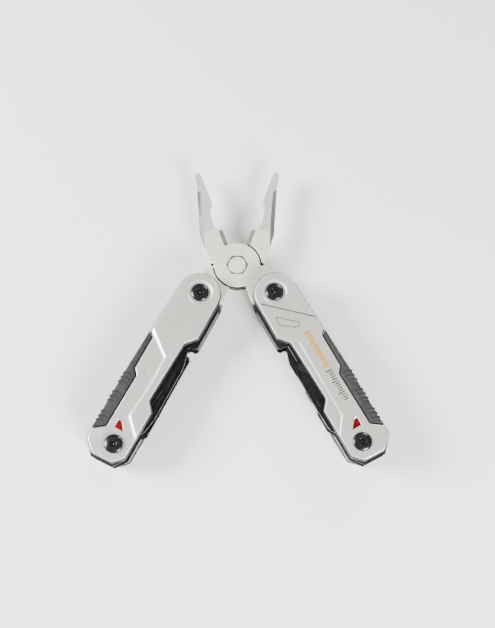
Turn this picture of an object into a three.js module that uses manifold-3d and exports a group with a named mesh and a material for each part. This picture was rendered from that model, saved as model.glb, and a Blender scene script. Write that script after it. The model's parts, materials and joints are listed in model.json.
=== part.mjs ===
// Folding multi tool, open as pliers with its jaws apart, lying on its back. Millimetres.
// X runs across the tool, Y towards the jaw tips and Z through its thickness.
//
// Two plier halves cross at a lap joint. A handle turns on the tang of each half, and carries
// two bays of folding tools, one in front of and one behind the channel that the jaws fold
// into. A handle's pieces are drawn once, for the front of the left handle, with z counted
// outwards from the tool's middle plane, and mirrored for the other places.

import * as THREE from 'three';
import { mergeVertices } from 'three/addons/utils/BufferGeometryUtils.js';
import Module from 'manifold-3d';

const wasm = await Module();
wasm.setup();

// ---- Driving dimensions ----

// Layers, outwards from the middle plane
const HEAD = 6.6; // plier head
const LAP_PLAY = 0.1; // between the two plier halves
const CHANNEL = 7.2; // between the two walls of a frame
const WALL = 1.0; // frame sheet
const TOOL = 1.55; // a folding tool
const PLAY = 0.1; // between two neighbouring layers
const SCALE = 3.0; // a handle scale
const SCREW_RISE = 1.2; // a screw head above its scale

// Pivots
const JAW_OPENING = 40.6; // degrees, from closed to the opening stop
const SPLAY = 8.15; // degrees that a handle leans out when the jaws are closed
const EYE_X = 11.68; // handle pivot from the plier pivot, jaws closed
const EYE_Y = -22.59;
const PITCH = 86.2; // handle pivot to tool pivot
const PIN = 2.4; // radius of a pivot pin
const BORE_PLAY = 0.3; // round each pin

// Plier head
const JAW_LENGTH = 56.6; // plier pivot to tips
const JAW_GAP = 0.3; // between the closed jaws
const DISC = 11.9; // radius of the lap joint
const DISC_RELIEF = 12.7; // radius cleared for it in the other half
const TANG = 9.2; // radius of a tang round its handle pivot
const BOLT_HEAD = 4.7;
const BOLT_SINK = 1.0; // depth of the counterbore for the bolt head
const BOLT_RISE = 0.2; // bolt head above the plier head

// Handles
const END_RADIUS = 11.25; // round end of a scale
const END_X = -0.15; // its centre, from the handle pivot
const END_Y = -1.0;
const EDGE = 0.8; // bevel along a scale's edges
const GRIP_RISE = 0.2; // grip above its scale
const FIT = 0.3; // gap round an inlaid piece
const BRIDGE = 1.5; // frame web at the inner edge
const BRIDGE_TOP = -3.0;
const BRIDGE_END = -24.6;
const FRAME_EDGE = 12.0; // inner edge of the frame

// Screws
const SCREW_HEAD = 4.6;
const SCREW_SHANK = 1.6;
const SOCKET = 1.5;
const DISH = 6.5; // radius of the dished seat at a handle pivot
const DISH_DEPTH = 0.45;

// Lock
const LOCK_X = -4.6; // cross bar, from the handle pivot
const LOCK_Y = -79.0;
const LOCK_BAR = 1.1;
const LOCK_TRAVEL = 1.2;
const TAB = 1.9; // tab thickness
const TOOL_TANG = 6.8; // radius of a tool's tang

const channelWall = CHANNEL / 2;
const bayFloor = channelWall + WALL;
const bayRoof = bayFloor + 2 * TOOL + 3 * PLAY;
const face = bayRoof + SCALE;
const halfThickness = face + SCREW_RISE;
const pinEnd = bayRoof - PLAY;

// ---- Geometry helpers ----

function welded(geometry) {
  const bare = geometry.clone();
  bare.deleteAttribute('normal');
  bare.deleteAttribute('uv');
  return mergeVertices(bare);
}

function solid(geometry) {
  const { attributes, index } = welded(geometry);
  const vertProperties = new Float32Array(attributes.position.array);
  const triVerts = new Uint32Array(index.array);
  return new wasm.Manifold(new wasm.Mesh({ numProp: 3, vertProperties, triVerts }));
}

function geometryOf(body) {
  const { vertProperties, triVerts } = body.getMesh();
  const geometry = new THREE.BufferGeometry();
  geometry.setAttribute('position', new THREE.BufferAttribute(vertProperties, 3));
  geometry.setIndex(new THREE.BufferAttribute(triVerts, 1));
  return geometry;
}

function fuse(first, ...others) {
  return geometryOf(others.reduce((body, other) => body.add(solid(other)), solid(first)));
}

function cut(first, ...cutters) {
  return geometryOf(cutters.reduce((body, cutter) => body.subtract(solid(cutter)), solid(first)));
}

function polygon(points) {
  return new THREE.Shape(points.map(([x, y]) => new THREE.Vector2(x, y)));
}

// A flat piece from z = low to z = high, with its edges bevelled inwards.
function plate(outline, low, high, bevel = 0) {
  const geometry = new THREE.ExtrudeGeometry(outline, {
    depth: high - low - 2 * bevel,
    bevelEnabled: bevel > 0,
    bevelThickness: bevel,
    bevelSize: bevel,
    bevelOffset: -bevel,
    bevelSegments: 1,
    curveSegments: 10,
  });
  return geometry.translate(0, 0, low + bevel);
}

function rod(radius, low, high, x = 0, y = 0, sides = 24) {
  const geometry = new THREE.CylinderGeometry(radius, radius, high - low, sides);
  return geometry.rotateX(Math.PI / 2).translate(x, y, (low + high) / 2);
}

// A body of revolution about Z, from radius and height pairs that start and end on the axis.
function turned(profile, sides = 20) {
  const points = profile.map(([radius, height]) => new THREE.Vector2(radius, height));
  return new THREE.LatheGeometry(points, sides).rotateX(Math.PI / 2);
}

function mirrored(geometry, alongX, alongZ) {
  const copy = welded(geometry).scale(alongX, 1, alongZ);
  if (alongX * alongZ < 0) {
    copy.index.array.reverse();
  }
  return copy;
}

function finish(color, roughness, metalness) {
  return new THREE.MeshStandardMaterial({ color, roughness, metalness });
}

function piece(name, geometry, material) {
  const mesh = new THREE.Mesh(welded(geometry), material);
  mesh.geometry.computeVertexNormals();
  mesh.name = name;
  return mesh;
}

const blastedSteel = finish(0xb9b5ab, 0.45, 0.9);
const brightSteel = finish(0xd8d5ce, 0.25, 1.0);
const silverPaint = finish(0xc8cacb, 0.35, 0.7);
const blackOxide = finish(0x24262a, 0.4, 0.6);
const blackSteel = finish(0x1b1c1e, 0.3, 0.7);
const rubber = finish(0x4b504e, 0.8, 0.0);
const redPlastic = finish(0xc00508, 0.4, 0.0);

// ---- Plier head, drawn with the jaws closed ----

// The jaw left of the centre line: fine-toothed flat, pipe grip, wire cutter and back.
function jawOutline() {
  const inner = -JAW_GAP / 2;
  return polygon([
    [inner, 0],
    [inner, 21.7],
    [-2.5, 21.7],
    [-3.1, 22.9],
    [-4.1, 24.6],
    [-3.9, 28.7],
    [-3.0, 32.6],
    [-1.6, 36.0],
    [inner, 37.1],
    [inner, JAW_LENGTH],
    [-2.9, JAW_LENGTH],
    [-3.5, 55.2],
    [-5.3, 46.7],
    [-12.2, 23.1],
    [-12.5, 17.4],
    [-12.6, 5.5],
    [-8.0, 5.5],
    [-8.0, 0],
  ]);
}

// The tang right of the centre line, round its handle pivot, with the heel that stops the handle.
function tangOutline() {
  const tang = new THREE.Shape();
  tang.moveTo(JAW_GAP / 2, 0);
  tang.lineTo(8.0, 0);
  tang.lineTo(11.6, -4.5);
  tang.lineTo(13.2, -5.7);
  tang.lineTo(15.1, -9.2);
  tang.absarc(EYE_X, EYE_Y, TANG, Math.PI / 3, -Math.PI, true);
  tang.lineTo(1.7, -21.5);
  tang.lineTo(JAW_GAP / 2, -21.1);
  tang.closePath();
  return tang;
}

// The half whose lap disc is in front: left jaw and right tang. Its bolt sits in a counterbore.
function plierHalf() {
  const deep = HEAD / 2;
  const lap = LAP_PLAY / 2;
  const thick = fuse(plate(jawOutline(), -deep, deep), plate(tangOutline(), -deep, deep));
  const relieved = cut(thick, rod(DISC_RELIEF, -deep - 1, lap, 0, 0, 48));
  const half = fuse(relieved, rod(DISC, lap, deep, 0, 0, 48));
  return cut(
    half,
    rod(PIN + BORE_PLAY, -deep - 1, deep + 1),
    rod(BOLT_HEAD + BORE_PLAY, deep - BOLT_SINK, deep + 1),
    rod(PIN + BORE_PLAY, -deep - 1, deep + 1, EYE_X, EYE_Y),
  );
}

function pivotBolt() {
  const top = HEAD / 2 + BOLT_RISE;
  const seat = HEAD / 2 - BOLT_SINK + PLAY;
  return turned([[0, -2.2], [PIN, -2.2], [PIN, seat], [BOLT_HEAD, seat],
    [BOLT_HEAD, top - 0.3], [BOLT_HEAD - 0.4, top], [0, top]], 24);
}

// Nut behind the head, screwed to the bolt's end.
function pivotNut() {
  const top = HEAD / 2 + BOLT_RISE;
  return turned([[0, 2.3], [BOLT_HEAD, 2.4], [BOLT_HEAD, top - 0.3], [BOLT_HEAD - 0.4, top], [0, top]], 6);
}

// ---- A handle's pieces, in place for the front of the left handle ----

// Silver scale: round top, notch over the tools at the inner edge, recess for the grip.
function scaleOutline() {
  const outline = new THREE.Shape();
  outline.moveTo(END_X - END_RADIUS, END_Y);
  outline.absarc(END_X, END_Y, END_RADIUS, Math.PI, 0, true);
  const rest = [[11.1, -21.6], [6.3, -27.0], [5.1, -59.6], [9.0, -64.3], [8.6, -89.9],
    [3.6, -94.9], [-7.5, -95.2], [-13.8, -89.2], [-13.8, -84.2], [-8.0, -80.2],
    [-7.5, -52.0], [-10.1, -49.0], [-10.1, -31.2], [-12.4, -28.8]];
  rest.forEach(([x, y]) => outline.lineTo(x, y));
  outline.closePath();
  return outline;
}

// The red triangle's window, and the pocket behind it where the tab slides.
function windowOutline() {
  return polygon([[-3.8, -78.9], [1.2, -78.9], [-2.2, -74.8], [-3.8, -74.8]]);
}

function tabOutline(play, travel) {
  return polygon([[-5.9 - play, -80.6 - play], [2.2 + play, -80.6 - play],
    [2.2 + play, -78.6 + travel + play], [-1.6 + play, -74.0 + travel + play],
    [-5.9 - play, -74.0 + travel + play]]);
}

function scale() {
  const seat = new THREE.CylinderGeometry(DISH, SCREW_HEAD + BORE_PLAY, DISH_DEPTH, 32);
  seat.rotateX(Math.PI / 2).translate(0, 0, face - DISH_DEPTH / 2);
  return cut(
    plate(scaleOutline(), bayRoof, face, EDGE),
    seat,
    rod(SCREW_SHANK + BORE_PLAY, bayRoof - 1, face + 1),
    rod(SCREW_SHANK + BORE_PLAY, bayRoof - 1, face + 1, 0, -PITCH),
    plate(tabOutline(FIT, LOCK_TRAVEL), bayRoof - 1, bayRoof + 2 * PLAY + TAB),
    plate(windowOutline(), bayRoof - 1, face + 1),
  );
}

// Rubber grip let into the outer edge, with its ribs in three groups.
function grip() {
  const outline = [[-12.7, -29.2], [-10.4, -31.4], [-10.4, -49.1], [-7.8, -52.1],
    [-8.3, -80.0], [-13.7, -83.8]];
  for (const group of [-75.0, -64.1, -53.6]) {
    for (const rib of [-4.8, -2.4, 0]) {
      const y = group + rib;
      outline.push([-13.3, y - 0.9], [-13.7, y - 0.4], [-13.7, y + 0.4], [-13.3, y + 0.9]);
    }
  }
  return plate(polygon(outline), bayRoof, face + GRIP_RISE, 0.2);
}

// Back spring: a block round the handle pivot and a bar down the spine.
function backSpring() {
  const outline = new THREE.Shape();
  outline.moveTo(END_X - 10.5, END_Y);
  outline.absarc(END_X, END_Y, 10.5, Math.PI, 0, true);
  const rest = [[10.35, -19.5], [6.0, -23.5], [-4.0, -24.0], [-8.2, -29.0], [-8.4, -74.0],
    [-11.8, -74.6]];
  rest.forEach(([x, y]) => outline.lineTo(x, y));
  outline.closePath();
  const bar = plate(outline, bayFloor + PLAY, bayRoof - PLAY);
  return cut(bar, rod(PIN + BORE_PLAY, bayFloor, bayRoof));
}

function screw(seat) {
  return turned([[0, bayRoof + 2 * PLAY], [SCREW_SHANK, bayRoof + 2 * PLAY], [SCREW_SHANK, seat],
    [SCREW_HEAD, seat], [SCREW_HEAD, face + 0.3], [SCREW_HEAD - 0.8, face + 0.9],
    [SCREW_HEAD - 2.0, halfThickness], [SOCKET, halfThickness], [SOCKET, face + 0.2],
    [0, face + 0.2]]);
}

// Red tab under the window, carried by the cross bar.
function lockTab() {
  return plate(tabOutline(0, 0), bayRoof + PLAY, bayRoof + PLAY + TAB);
}

// ---- A handle's pieces that go right through it ----

// U-shaped frame: two walls, joined by a web at the inner edge beside the tang.
function frame() {
  const outline = new THREE.Shape();
  outline.moveTo(END_X - 10.7, END_Y);
  outline.absarc(END_X, END_Y, 10.7, Math.PI, 0.3, true);
  const rest = [[11.0, 0.0], [FRAME_EDGE, BRIDGE_TOP], [FRAME_EDGE, BRIDGE_END], [11.0, -26.2],
    [8.6, -26.2], [5.4, -29.0], [4.6, -59.8], [7.9, -64.4], [7.9, -90.0], [3.8, -95.9],
    [-7.9, -96.2], [-13.6, -89.9], [-12.0, -82.0], [-12.0, -60.0]];
  rest.forEach(([x, y]) => outline.lineTo(x, y));
  outline.closePath();
  const web = new THREE.BoxGeometry(BRIDGE, BRIDGE_TOP - BRIDGE_END, 2 * bayFloor);
  web.translate(FRAME_EDGE - BRIDGE / 2, (BRIDGE_TOP + BRIDGE_END) / 2, 0);
  const slot = new THREE.BoxGeometry(
    2 * (LOCK_BAR + BORE_PLAY), 2 * (LOCK_BAR + BORE_PLAY) + LOCK_TRAVEL, 3 * bayFloor);
  slot.translate(LOCK_X, LOCK_Y + LOCK_TRAVEL / 2, 0);
  return cut(
    fuse(plate(outline, channelWall, bayFloor), plate(outline, -bayFloor, -channelWall), web),
    rod(PIN + BORE_PLAY, -face, face),
    rod(PIN + BORE_PLAY, -face, face, 0, -PITCH),
    slot,
  );
}

function spacer() {
  const length = channelWall - PLAY;
  const y = -PITCH;
  return cut(rod(3.6, -length, length, 0, y), rod(PIN + BORE_PLAY, -face, face, 0, y));
}

function lockBar() {
  return rod(LOCK_BAR, -bayRoof, bayRoof, LOCK_X, LOCK_Y, 16);
}

// ---- Folding tools, from the tool pivot: +Y along the folded tool, +X to its nail side ----

function tool(outline) {
  const blade = plate(outline, 0, TOOL);
  const tang = rod(TOOL_TANG, 0, TOOL, 0, 0, 32);
  return cut(fuse(tang, blade), rod(PIN + BORE_PLAY, -1, TOOL + 1));
}

// Straight back at the nail side, belly swept up to the point.
function knifeBlade() {
  const blade = polygon([[-3.0, 0], [6.5, 0], [6.5, 8.0], [10.2, 12.0], [11.0, 24.0], [10.9, 44.0]]);
  blade.lineTo(8.8, 49.9);
  blade.quadraticCurveTo(-1.0, 46.0, -2.8, 33.0);
  blade.lineTo(-2.8, 13.0);
  blade.closePath();
  return tool(blade);
}

// A narrower blade with a scalloped edge.
function serratedBlade() {
  const blade = polygon([[-3.0, 0], [6.5, 0], [6.5, 8.0], [9.0, 12.0], [9.4, 30.0], [9.2, 47.0]]);
  blade.quadraticCurveTo(8.4, 51.5, 4.6, 56.6);
  blade.quadraticCurveTo(-0.4, 53.0, -1.8, 45.0);
  const scallop = 4.0;
  for (let y = 45.0; y > 16.0; y -= scallop) {
    blade.quadraticCurveTo(-0.4, y - scallop / 2, -2.4, y - scallop);
  }
  blade.lineTo(-2.8, 12.0);
  blade.closePath();
  return tool(blade);
}

// Back at the nail side, teeth towards the spine of the handle.
function woodSaw() {
  const saw = polygon([[6.5, 0], [6.5, 8.0], [9.6, 12.0], [10.8, 20.0], [10.8, 48.5], [9.0, 56.0],
    [7.4, 58.8], [-0.4, 56.5]]);
  const pitch = 2.4;
  for (let y = 54.0; y > 12.0; y -= pitch) {
    saw.lineTo(-2.8, y);
    saw.lineTo(-1.2, y - pitch / 2);
  }
  saw.lineTo(-2.8, 8.0);
  saw.lineTo(-3.0, 0);
  saw.closePath();
  return tool(saw);
}

function metalFile() {
  return tool(polygon([[-2.6, 0], [6.5, 0], [6.5, 8.0], [9.8, 11.0], [9.8, 55.5], [8.4, 57.4],
    [-0.6, 57.4], [-2.2, 55.5]]));
}

function flatDriver() {
  return tool(polygon([[-3.0, 0], [6.5, 0], [7.4, 10.0], [9.8, 14.0], [9.8, 24.0], [7.2, 28.0],
    [7.0, 46.0], [7.6, 54.0], [7.6, 57.4], [-0.2, 57.4], [-0.2, 54.0], [0.4, 46.0],
    [0.2, 28.0], [-2.4, 22.0]]));
}

function phillipsDriver() {
  return tool(polygon([[-3.0, 0], [6.5, 0], [7.4, 10.0], [10.6, 14.0], [10.6, 34.0], [11.2, 48.0],
    [11.2, 51.0], [10.6, 53.0], [9.2, 57.4], [8.2, 59.4], [6.8, 59.4], [5.8, 57.4], [4.4, 53.0],
    [4.2, 34.0], [-2.6, 28.0]]));
}

function canOpener() {
  const opener = polygon([[-3.0, 0], [6.5, 0], [7.0, 10.0], [10.0, 14.0], [10.2, 24.0], [7.6, 28.0]]);
  opener.quadraticCurveTo(5.4, 31.0, 8.4, 34.0);
  opener.lineTo(8.6, 40.0);
  opener.lineTo(4.0, 44.0);
  opener.lineTo(-1.4, 40.0);
  opener.lineTo(-2.6, 26.0);
  opener.closePath();
  return tool(opener);
}

function bottleOpener() {
  const opener = polygon([[-3.0, 0], [6.5, 0], [7.2, 10.0], [10.0, 14.0], [9.6, 20.0]]);
  opener.quadraticCurveTo(3.0, 25.0, 5.6, 31.0);
  opener.lineTo(9.6, 30.0);
  opener.lineTo(9.8, 36.0);
  opener.lineTo(6.6, 44.0);
  opener.lineTo(0.2, 44.0);
  opener.lineTo(-2.6, 30.0);
  opener.closePath();
  return tool(opener);
}

// ---- Assembly ----

// Each bay holds two tools, the first beside the frame and the second beside the scale.
const TOOLS = {
  left: {
    front: [['wood_saw', woodSaw], ['serrated_blade', serratedBlade]],
    rear: [['can_opener', canOpener], ['metal_file', metalFile]],
  },
  right: {
    front: [['phillips_driver', phillipsDriver], ['knife_blade', knifeBlade]],
    rear: [['bottle_opener', bottleOpener], ['flat_driver', flatDriver]],
  },
};

// A handle, from its own pivot. The right one mirrors the left one.
function handle(side) {
  const group = new THREE.Group();
  const flip = side === 'left' ? 1 : -1;
  const add = (name, geometry, material, outwards = 1) => {
    group.add(piece(`${side}_${name}`, mirrored(geometry, flip, outwards), material));
  };

  add('frame', frame(), blackSteel);
  add('handle_pin', rod(PIN, -pinEnd, pinEnd), blastedSteel);
  add('tool_pin', rod(PIN, -pinEnd, pinEnd, 0, -PITCH), blastedSteel);
  add('tool_spacer', spacer(), blastedSteel);
  add('lock_bar', lockBar(), brightSteel);

  for (const [where, outwards] of [['front', 1], ['rear', -1]]) {
    add(`${where}_scale`, scale(), silverPaint, outwards);
    add(`${where}_grip`, grip(), rubber, outwards);
    add(`${where}_back_spring`, backSpring(), blackSteel, outwards);
    add(`${where}_handle_screw`, screw(face - DISH_DEPTH + PLAY), blackOxide, outwards);
    add(`${where}_tool_screw`, screw(face + PLAY / 2).translate(0, -PITCH, 0), blackOxide, outwards);
    add(`${where}_lock_tab`, lockTab(), redPlastic, outwards);
    TOOLS[side][where].forEach(([name, make], layer) => {
      const low = bayFloor + PLAY + layer * (TOOL + PLAY);
      const blade = mirrored(make().translate(0, -PITCH, low), flip, outwards);
      group.add(piece(name, blade, blackOxide));
    });
  }
  return group;
}

function assembly() {
  const front = new THREE.Group();
  front.rotation.z = THREE.MathUtils.degToRad(JAW_OPENING / 2);
  front.add(piece('front_plier_half', plierHalf(), blastedSteel));
  front.add(piece('plier_pivot_bolt', pivotBolt(), brightSteel));
  front.add(piece('plier_pivot_nut', mirrored(pivotNut(), 1, -1), brightSteel));

  const rear = new THREE.Group();
  rear.rotation.z = -front.rotation.z;
  rear.add(piece('rear_plier_half', mirrored(mirrored(plierHalf(), 1, -1), -1, 1), blastedSteel));

  const right = handle('right');
  right.position.set(EYE_X, EYE_Y, 0);
  right.rotation.z = THREE.MathUtils.degToRad(SPLAY);
  front.add(right);

  const left = handle('left');
  left.position.set(-EYE_X, EYE_Y, 0);
  left.rotation.z = -right.rotation.z;
  rear.add(left);

  const whole = new THREE.Group();
  whole.add(front, rear);
  return whole;
}

// The origin is the middle of the surface that the tool lies on.
const group = assembly();
const extent = new THREE.Box3().setFromObject(group, true);
const middle = extent.getCenter(new THREE.Vector3());
group.position.set(-middle.x, -middle.y, -extent.min.z);

export default group;
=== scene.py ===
"""A folding multi tool, open as pliers with its jaws apart.

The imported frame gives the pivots. A handle's pieces are drawn in millimetres from its own pivot,
as the front of the left handle with z counted outwards from the middle plane, and handle_place()
mirrors them to the other three places and turns them into metres. The plier halves are drawn from
the plier pivot with the jaws closed, and head_place() does the same for them."""
import json
import math
import bpy
import numpy as np
from mathutils import Matrix, Vector
from mathutils.geometry import delaunay_2d_cdt


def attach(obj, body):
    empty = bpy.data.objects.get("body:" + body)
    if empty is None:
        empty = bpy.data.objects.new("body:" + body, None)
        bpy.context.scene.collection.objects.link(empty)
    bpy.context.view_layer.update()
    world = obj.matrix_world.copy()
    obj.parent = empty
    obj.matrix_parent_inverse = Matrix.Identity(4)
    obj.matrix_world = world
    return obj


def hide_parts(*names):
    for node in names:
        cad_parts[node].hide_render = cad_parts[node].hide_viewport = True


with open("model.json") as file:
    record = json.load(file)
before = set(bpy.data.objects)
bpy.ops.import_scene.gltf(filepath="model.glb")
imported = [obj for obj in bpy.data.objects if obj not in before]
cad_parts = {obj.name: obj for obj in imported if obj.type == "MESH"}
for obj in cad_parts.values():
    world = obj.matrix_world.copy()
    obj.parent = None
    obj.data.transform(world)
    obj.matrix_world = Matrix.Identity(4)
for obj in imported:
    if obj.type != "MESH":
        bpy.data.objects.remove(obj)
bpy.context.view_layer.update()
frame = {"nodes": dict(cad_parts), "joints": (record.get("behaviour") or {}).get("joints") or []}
MM = 0.001  # a millimetre, in metres

# ---- Places, from the frame ----

joints = {joint["name"]: joint for joint in frame["joints"]}
plier_pivot = Vector(joints["plier_pivot"]["pos_m"])
handle_pivot = {side: Vector(joints[f"{side}_handle_fold"]["pos_m"]) for side in ("left", "right")}
tool_pivot = Vector(joints["knife_blade_hinge"]["pos_m"])
handle_run = tool_pivot - handle_pivot["right"]
PITCH = handle_run.xy.length / MM                        # handle pivot to tool pivot
HANDLE_LEAN = math.atan2(handle_run.x, -handle_run.y)    # a handle from straight down
HALF_OPENING = -math.radians(joints["plier_pivot"]["range_deg"][0]) / 2
EYE = (handle_pivot["right"] - plier_pivot) / MM         # the tang's eye, jaws open
EYE.rotate(Matrix.Rotation(-HALF_OPENING, 3, "Z"))       # the same with the jaws closed
MIDDLE = plier_pivot.z

# ---- Sizes, in millimetres; z is counted from the middle plane ----

HEAD = 3.3           # half the plier head's thickness
LAP = 0.05           # half the play at the lap joint
DISC = 11.9          # radius of the lap disc
RELIEF = 12.7        # radius cleared for it in the other half
JAW_FACE = -0.15     # x of the left jaw's inner face
JAW_TIP = 56.6       # y of its tip
BAY_FLOOR = 4.6      # inner side of a tool bay
TOOL = 1.55          # thickness of a folding tool
PLAY = 0.1           # between two tools
BAY_ROOF = 8.0       # inner face of a scale
FACE = 11.0          # outer face of a scale
TOP = 12.2           # top of a screw head
SCREW = 4.6          # radius of a screw head
WIDE = 60.0          # far enough outside a piece for the sides of a cut that don't shape it

SIDES = ("left", "right")
FACES = (("front", 1), ("rear", -1))  # with the way each one's z points


# ---- Outlines ----

def arc(x, y, radius, start, end, steps):
    """Points on a circle, from one angle in degrees to another."""
    turn = np.radians(np.linspace(start, end, steps + 1))
    return [(x + radius * math.cos(a), y + radius * math.sin(a)) for a in turn]


def rounded(corners, radius=0.5, steps=4):
    """A closed outline with its corners rounded. A corner may give its own radius as a third
    value, and 0 keeps it sharp. The radius is less where two corners are close together."""
    points = []
    for i, corner in enumerate(corners):
        here = Vector(corner[:2])
        to_last = Vector(corners[i - 1][:2]) - here
        to_next = Vector(corners[(i + 1) % len(corners)][:2]) - here
        room = 0.45 * min(to_last.length, to_next.length)
        to_last.normalize()
        to_next.normalize()
        half = to_last.angle(to_next) / 2
        size = corner[2] if len(corner) > 2 else radius
        if size == 0 or half > 1.5:
            points.append(tuple(here))
            continue
        cut = min(size / math.tan(half), room)
        for k in range(steps + 1):
            s = k / steps
            p = here + to_last * cut * (1 - s) ** 2 + to_next * cut * s ** 2
            points.append(tuple(p))
    return points


def anticlockwise(outline):
    """The outline, turned round if it runs clockwise."""
    p = np.array(outline, float)
    n = np.roll(p, -1, axis=0)
    area = (p[:, 0] * n[:, 1] - p[:, 1] * n[:, 0]).sum()
    return list(outline) if area > 0 else list(outline)[::-1]


def inset(outline, depth):
    """The outline moved inwards."""
    p = np.array(anticlockwise(outline), float)
    ahead = np.roll(p, -1, axis=0) - p
    ahead /= np.linalg.norm(ahead, axis=1)[:, None]
    normal = np.stack([-ahead[:, 1], ahead[:, 0]], 1)
    last = np.roll(normal, 1, axis=0)
    mitre = (normal + last) / np.maximum(1 + (normal * last).sum(1), 0.35)[:, None]
    return [tuple(q) for q in p + mitre * depth]


def stroke(line, width):
    """A closed outline round an open line."""
    p = np.array(line, float)
    ahead = np.gradient(p, axis=0)
    ahead /= np.linalg.norm(ahead, axis=1)[:, None]
    side = np.stack([ahead[:, 1], -ahead[:, 0]], 1) * width / 2
    return [tuple(q) for q in np.concatenate([p + side, (p - side)[::-1]])]


def curve(start, control, end, steps):
    """Points on a quadratic curve, without its first point."""
    points = []
    for k in range(1, steps + 1):
        s = k / steps
        points.append(tuple((1 - s) ** 2 * np.array(start) + 2 * s * (1 - s) * np.array(control)
                            + s * s * np.array(end)))
    return points


def inside(points, outline):
    """How far each point is inside a closed outline, negative outside it."""
    a = np.array(outline, float)
    b = np.roll(a, -1, axis=0)
    p = points[:, None, :]
    run = b - a
    along = np.clip(((p - a) * run).sum(-1) / np.maximum((run ** 2).sum(-1), 1e-12), 0, 1)
    gap = np.linalg.norm(a + along[..., None] * run - p, axis=-1).min(1)
    crosses = (a[:, 1] > p[..., 1]) != (b[:, 1] > p[..., 1])
    rise = np.where(run[:, 1] == 0, 1e-12, run[:, 1])
    x = a[:, 0] + (p[..., 1] - a[:, 1]) * run[:, 0] / rise
    within = (crosses & (p[..., 0] < x)).sum(1) % 2 == 1
    return np.where(within, gap, -gap)


def near(points, line):
    """How far each point is from an open line."""
    a = np.array(line[:-1], float)
    run = np.array(line[1:], float) - a
    p = points[:, None, :]
    along = np.clip(((p - a) * run).sum(-1) / (run ** 2).sum(-1), 0, 1)
    return np.linalg.norm(a + along[..., None] * run - p, axis=-1).min(1)


def beyond(y, far=90.0):
    """Everything past y, as an outline."""
    return [(-WIDE, y), (WIDE, y), (WIDE, far), (-WIDE, far)]


# ---- Solids ----

class Solid:
    """Vertices, faces and each face's material number, in a piece's own millimetres."""

    def __init__(self):
        self.verts = []
        self.faces = []
        self.paint = []

    def add(self, verts, faces, paint):
        base = len(self.verts)
        self.verts += [tuple(v) for v in verts]
        self.faces += [tuple(base + i for i in face) for face in faces]
        self.paint += list(paint)
        return self


WALL = 0.03  # width of a wall round a cut that is given by a function


def plate(outline, low, high, top=(), bottom=(), holes=(), areas=(), paint=None, side=None,
          grid=2.5, under=None):
    """A flat piece between two heights. top and bottom are cuts into its faces, each an outline
    with either [(distance inside it, depth), ...] or a function from points to depths; cuts add
    up. holes go through. areas are outlines that paint needs edges along. paint is a function
    from points to material numbers for both faces, side is a function from a point of the rim to
    a material number, and under is the material number of the bottom. grid is the spacing of the
    points inside the outline."""
    outline = anticlockwise(outline)
    rings = [outline] + [list(hole) for hole in holes]
    for cut_outline, profile in [*top, *bottom]:
        distances = (0, -WALL) if callable(profile) else [distance for distance, _ in profile]
        rings += [inset(cut_outline, d) if d else list(cut_outline) for d in distances]
    rings += areas
    verts, edges = [], []
    for ring in rings:
        first = len(verts)
        verts += [Vector(p) for p in ring]
        edges += [(first + i, first + (i + 1) % len(ring)) for i in range(len(ring))]
    lo, hi = np.min(outline, axis=0), np.max(outline, axis=0)
    nodes = np.array([(x + (k % 2) * grid / 2, y)
                      for k, y in enumerate(np.arange(lo[1], hi[1], grid))
                      for x in np.arange(lo[0], hi[0], grid)])
    verts += [Vector(p) for p in nodes[inside(nodes, outline) > 0.3 * grid]]
    out, _, tris, *_ = delaunay_2d_cdt(verts, edges, [], 0, 1e-5)
    xy = np.array([tuple(v) for v in out])
    tris = np.array([t for t in tris if len(t) == 3])
    centre = xy[tris].mean(1)
    keep = inside(centre, outline) > 0
    for hole in holes:
        keep &= inside(centre, hole) < 0
    centre = centre[keep]
    used, tris = np.unique(tris[keep], return_inverse=True)
    xy, tris = xy[used], tris.reshape(-1, 3)

    def level(cuts):
        depth = np.zeros(len(xy))
        for cut_outline, profile in cuts:
            distance = inside(xy, cut_outline)
            cut = profile(xy) if callable(profile) else np.interp(distance, *zip(*profile))
            depth += np.where(distance > -1e-4, cut, 0)
        return depth

    count = len(xy)
    upper = np.column_stack([xy, high - level(top)])
    lower = np.column_stack([xy, low + level(bottom)])
    numbers = paint(centre) if paint else np.zeros(len(tris), int)
    borders = {border for a, b, c in tris for border in ((a, b), (b, c), (c, a))}
    rim = sorted(border for border in borders if border[::-1] not in borders)
    faces = [tuple(t) for t in tris] + [tuple(t[::-1] + count) for t in tris]
    faces += [(b, a, a + count, b + count) for a, b in rim]
    below = numbers if under is None else np.full(len(tris), under)
    walls = [side(*(xy[a] + xy[b]) / 2) if side else 0 for a, b in rim]
    return Solid().add(np.concatenate([upper, lower]), faces, [*numbers, *below, *walls])


def painted(*areas):
    """A paint function from (outline, material number) pairs; the later ones are on top."""
    def paint(points):
        numbers = np.zeros(len(points), int)
        for outline, number in areas:
            numbers[inside(points, outline) > 0] = number
        return numbers
    return paint


def turned(profile, sides, waist=None, y=0.0):
    """A body of revolution from (radius, z) pairs that start and end on its axis, which is
    parallel to z. waist(angle, radius) may change the radius, for a socket."""
    verts = [(0.0, y, profile[0][1])]
    for radius, z in profile[1:-1]:
        for k in range(sides):
            a = 2 * math.pi * k / sides
            r = waist(a, radius) if waist else radius
            verts.append((r * math.cos(a), y + r * math.sin(a), z))
    verts.append((0.0, y, profile[-1][1]))
    rows = len(profile) - 2
    last = len(verts) - 1
    faces = []
    for k in range(sides):
        n = (k + 1) % sides
        faces.append((0, 1 + n, 1 + k))
        for row in range(rows - 1):
            a = 1 + row * sides
            faces.append((a + k, a + n, a + sides + n, a + sides + k))
        a = 1 + (rows - 1) * sides
        faces.append((a + k, a + n, last))
    return Solid().add(verts, faces, [0] * len(faces))


# ---- Placing ----

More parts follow.
